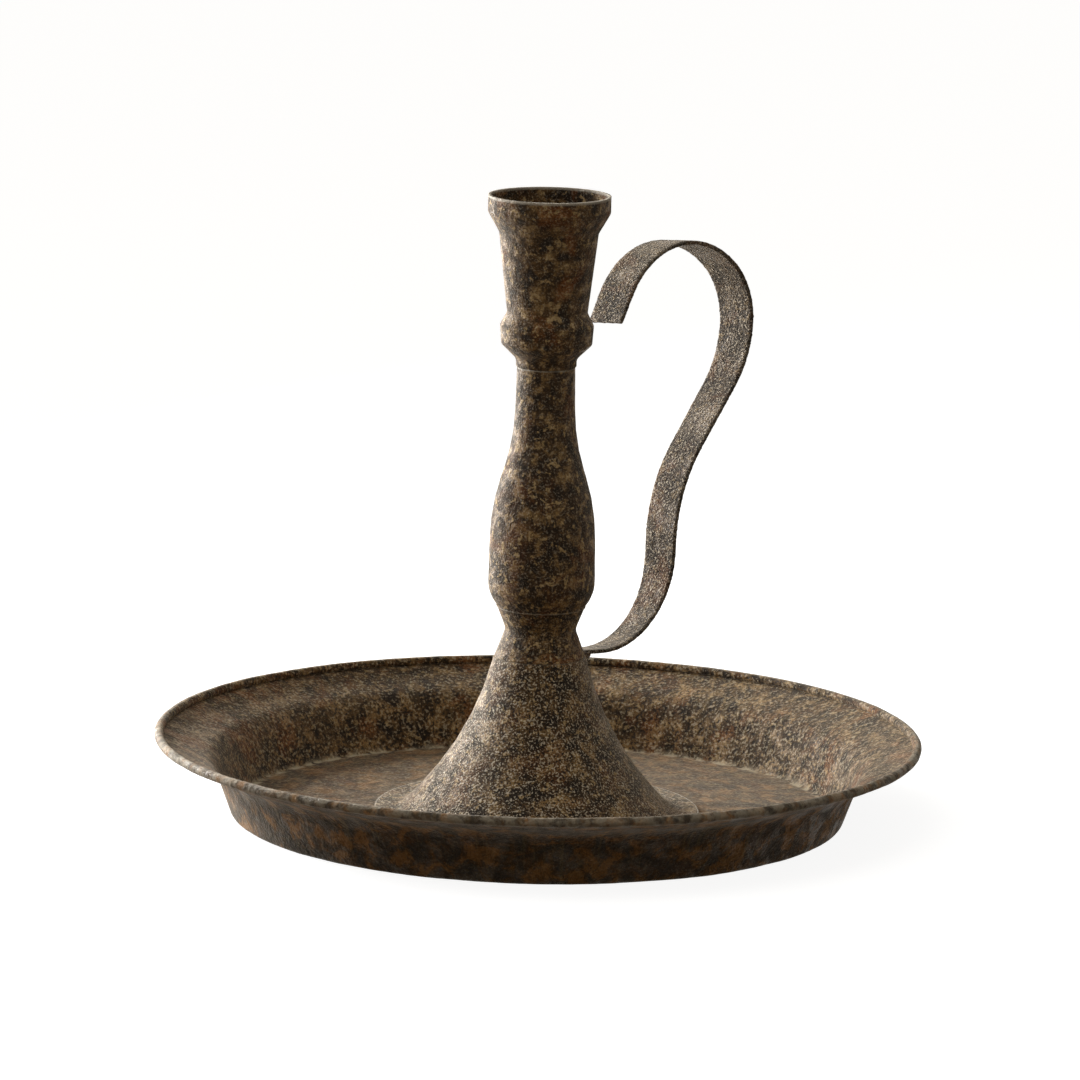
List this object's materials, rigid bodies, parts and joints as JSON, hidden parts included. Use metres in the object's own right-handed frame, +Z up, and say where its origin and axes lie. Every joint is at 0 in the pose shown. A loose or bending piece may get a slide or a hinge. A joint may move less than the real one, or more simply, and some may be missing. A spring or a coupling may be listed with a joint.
{
  "type": "candlestick",
  "caption": "Chamber candlestick of aged sheet iron: flared candle cup and baluster column on a spun foot, round drip pan with rolled edge, and a bowed strap handle.",
  "frame": {"origin": "centre of the flat face that the pan rests on", "axes": "+Z up along the column; +X and +Y lie on the table, with the handle pointing halfway between them"},
  "size_m": [0.21, 0.21, 0.1711],
  "materials": {
    "pan_iron": "aged sheet iron, mottled brown rust with a sandy grain",
    "wire": "plain drawn wire, hidden in the rolled edge",
    "foot_iron": "aged spun sheet iron, grey bloom and sandy grain",
    "collar_iron": "aged spun sheet iron, brown patina",
    "baluster_iron": "aged spun sheet iron, dark patina with tan spots",
    "cup_iron": "aged spun sheet iron, brown rust and faint spinning marks",
    "strap_iron": "aged flat strap iron, sandy grey-brown grain",
    "braze": "dark oxidised braze",
    "hardware": "dull oxidised steel"
  },
  "bodies": {
    "root": {"pan": "pan_iron", "rim_wire": "wire", "foot": "foot_iron", "collar": "collar_iron", "baluster": "baluster_iron", "candle_cup": "cup_iron", "handle": "strap_iron", "handle_braze": "braze", "tie_rod": "hardware", "lower_washer": "hardware", "lower_nut": "hardware", "cup_washer": "hardware", "cup_nut": "hardware"}
  },
  "joints": []
}
